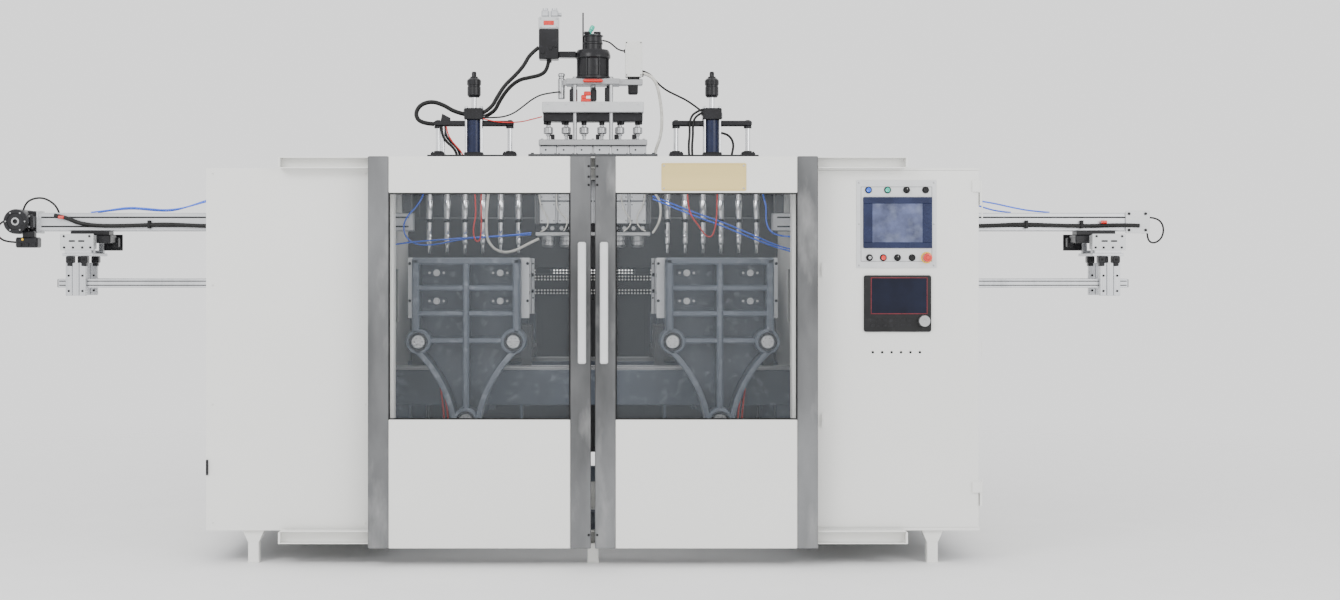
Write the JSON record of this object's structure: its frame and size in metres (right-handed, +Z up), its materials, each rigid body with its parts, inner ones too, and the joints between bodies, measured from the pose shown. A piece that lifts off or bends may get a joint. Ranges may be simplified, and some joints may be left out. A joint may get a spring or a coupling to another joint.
{
  "type": "extrusion blow moulding machine",
  "caption": "Two-station extrusion blow moulding machine with sliding guard doors, clamps on carriages, blow pins, die head and take-out arms.",
  "frame": {"origin": "bottom centre of the middle front foot, on the floor", "axes": "+X along the machine to the operator panel's side, +Y to the back, +Z up"},
  "size_m": [5.8516, 3.62, 2.649],
  "materials": {
    "white_panel": "semi-gloss powder coat",
    "stainless": "brushed",
    "casting": "semi-gloss paint",
    "frame_grey": "semi-gloss paint",
    "aluminium": "satin",
    "light_handle": "satin",
    "machined_steel": "machined",
    "chrome": "polished",
    "black_metal": "satin black",
    "black_plastic": "fine texture",
    "window": "clear polycarbonate",
    "light_grey": "satin",
    "navy_plastic": "glossy",
    "blue_plastic": "glossy",
    "green_plastic": "glossy",
    "red_plastic": "glossy",
    "hose_rubber": "matte",
    "motor_grey": "semi-gloss paint",
    "insulation": "bright sheet"
  },
  "bodies": {
    "machine": {"base_frame": "casting", "upper_frame": "frame_grey", "rear_guard": "frame_grey", "left_cabinet": "white_panel", "right_cabinet": "white_panel", "door_rails": "white_panel", "die_head": "machined_steel", "head_columns": "machined_steel", "parison_cylinder": "black_metal", "servo_valve": "black_metal", "junction_box": "white_panel", "left_blow_cylinder": "black_metal", "right_blow_cylinder": "black_metal", "left_takeout_beam": "aluminium", "right_takeout_beam": "aluminium", "belt_motor": "black_metal", "extruder_barrel": "insulation", "extruder_drive": "motor_grey", "hoses": "hose_rubber"},
    "cabinet_door": {"cabinet_door": "white_panel", "operator_panel": "light_grey", "touch_screen": "navy_plastic", "parison_controller": "black_plastic"},
    "encoder_knob": {"encoder_knob": "machined_steel"},
    "mandrel_bridge": {"mandrel_bridge": "machined_steel"},
    "blue_button": {"blue_button": "blue_plastic"},
    "green_button": {"green_button": "green_plastic"},
    "mode_selector": {"mode_selector": "black_plastic"},
    "black_button": {"black_button": "black_plastic"},
    "key_selector": {"key_selector": "black_plastic"},
    "lamp_button": {"lamp_button": "red_plastic"},
    "round_switch": {"round_switch": "black_plastic"},
    "lower_black_button": {"lower_black_button": "black_plastic"},
    "estop_button": {"estop_button": "red_plastic"},
    "left_door": {"left_door_frame": "stainless", "left_door_window": "window", "left_door_handle": "light_handle"},
    "left_carriage": {"left_carriage": "frame_grey"},
    "left_front_clamp": {"left_front_platen": "casting", "left_tie_frame": "machined_steel", "left_front_mould": "machined_steel"},
    "left_rear_clamp": {"left_rear_platen": "casting", "left_rear_mould": "machined_steel"},
    "left_blow": {"left_blow_lift": "black_metal", "left_blow_pins": "chrome"},
    "left_takeout": {"left_takeout_carriage": "aluminium", "left_takeout_arms": "aluminium"},
    "right_door": {"right_door_frame": "stainless", "right_door_window": "window", "right_door_handle": "light_handle"},
    "right_carriage": {"right_carriage": "frame_grey"},
    "right_front_clamp": {"right_front_platen": "casting", "right_tie_frame": "machined_steel", "right_front_mould": "machined_steel"},
    "right_rear_clamp": {"right_rear_platen": "casting", "right_rear_mould": "machined_steel"},
    "right_blow": {"right_blow_lift": "black_metal", "right_blow_pins": "chrome"},
    "right_takeout": {"right_takeout_carriage": "aluminium", "right_takeout_arms": "aluminium"}
  },
  "joints": [
    {"name": "left_door_slide", "type": "slide", "parent": "machine", "child": "left_door", "axis": [1, 0, 0], "range_m": [-0.78, 0]},
    {"name": "right_door_slide", "type": "slide", "parent": "machine", "child": "right_door", "axis": [1, 0, 0], "range_m": [0, 0.78]},
    {"name": "cabinet_door_hinge", "type": "hinge", "parent": "machine", "child": "cabinet_door", "pos_m": [1.754, -0.053, 1], "axis": [0, 0, -1], "range_deg": [-100, 0]},
    {"name": "blue_button_press", "type": "slide", "parent": "cabinet_door", "child": "blue_button", "axis": [0, 1, 0], "range_m": [0, 0.003], "stiffness_N_per_m": 300},
    {"name": "green_button_press", "type": "slide", "parent": "cabinet_door", "child": "green_button", "axis": [0, 1, 0], "range_m": [0, 0.003], "stiffness_N_per_m": 300},
    {"name": "mode_selector_turn", "type": "hinge", "parent": "cabinet_door", "child": "mode_selector", "pos_m": [1.418, -0.048, 1.69], "axis": [0, -1, 0], "range_deg": [-45, 45]},
    {"name": "black_button_press", "type": "slide", "parent": "cabinet_door", "child": "black_button", "axis": [0, 1, 0], "range_m": [0, 0.003], "stiffness_N_per_m": 300},
    {"name": "key_selector_turn", "type": "hinge", "parent": "cabinet_door", "child": "key_selector", "pos_m": [1.25, -0.048, 1.384], "axis": [0, -1, 0], "range_deg": [-45, 45]},
    {"name": "lamp_button_press", "type": "slide", "parent": "cabinet_door", "child": "lamp_button", "axis": [0, 1, 0], "range_m": [0, 0.003], "stiffness_N_per_m": 300},
    {"name": "round_switch_turn", "type": "hinge", "parent": "cabinet_door", "child": "round_switch", "pos_m": [1.377, -0.048, 1.384], "axis": [0, -1, 0], "range_deg": [-45, 45]},
    {"name": "lower_black_button_press", "type": "slide", "parent": "cabinet_door", "child": "lower_black_button", "axis": [0, 1, 0], "range_m": [0, 0.003], "stiffness_N_per_m": 300},
    {"name": "estop_button_press", "type": "slide", "parent": "cabinet_door", "child": "estop_button", "axis": [0, 1, 0], "range_m": [0, 0.004]},
    {"name": "encoder_turn", "type": "hinge", "parent": "cabinet_door", "child": "encoder_knob", "pos_m": [1.496, -0.055, 1.098], "axis": [0, -1, 0], "continuous": true},
    {"name": "left_carriage_slide", "type": "slide", "parent": "machine", "child": "left_carriage", "axis": [1, 0, 0], "range_m": [0, 0.6]},
    {"name": "left_front_clamp_slide", "type": "slide", "parent": "left_carriage", "child": "left_front_clamp", "axis": [0, -1, 0], "range_m": [-0.1999, 0]},
    {"name": "left_rear_clamp_slide", "type": "slide", "parent": "left_carriage", "child": "left_rear_clamp", "axis": [0, 1, 0], "range_m": [-0.1999, 0]},
    {"name": "left_blow_slide", "type": "slide", "parent": "machine", "child": "left_blow", "axis": [0, 0, 1], "range_m": [-0.05, 0]},
    {"name": "left_takeout_slide", "type": "slide", "parent": "machine", "child": "left_takeout", "axis": [1, 0, 0], "range_m": [0, 0.75]},
    {"name": "right_carriage_slide", "type": "slide", "parent": "machine", "child": "right_carriage", "axis": [1, 0, 0], "range_m": [-0.6, 0]},
    {"name": "right_front_clamp_slide", "type": "slide", "parent": "right_carriage", "child": "right_front_clamp", "axis": [0, 1, 0], "range_m": [0, 0.1999]},
    {"name": "right_rear_clamp_slide", "type": "slide", "parent": "right_carriage", "child": "right_rear_clamp", "axis": [0, -1, 0], "range_m": [0, 0.1999]},
    {"name": "right_blow_slide", "type": "slide", "parent": "machine", "child": "right_blow", "axis": [0, 0, -1], "range_m": [0, 0.05]},
    {"name": "right_takeout_slide", "type": "slide", "parent": "machine", "child": "right_takeout", "axis": [1, 0, 0], "range_m": [-0.75, 0]},
    {"name": "mandrel_bridge_slide", "type": "slide", "parent": "machine", "child": "mandrel_bridge", "axis": [0, 0, 1], "range_m": [0, 0.012]}
  ],
  "couplings": [
    {"joint": "left_rear_clamp_slide", "follows": "left_front_clamp_slide", "ratio": 1},
    {"joint": "right_rear_clamp_slide", "follows": "right_front_clamp_slide", "ratio": 1}
  ]
}
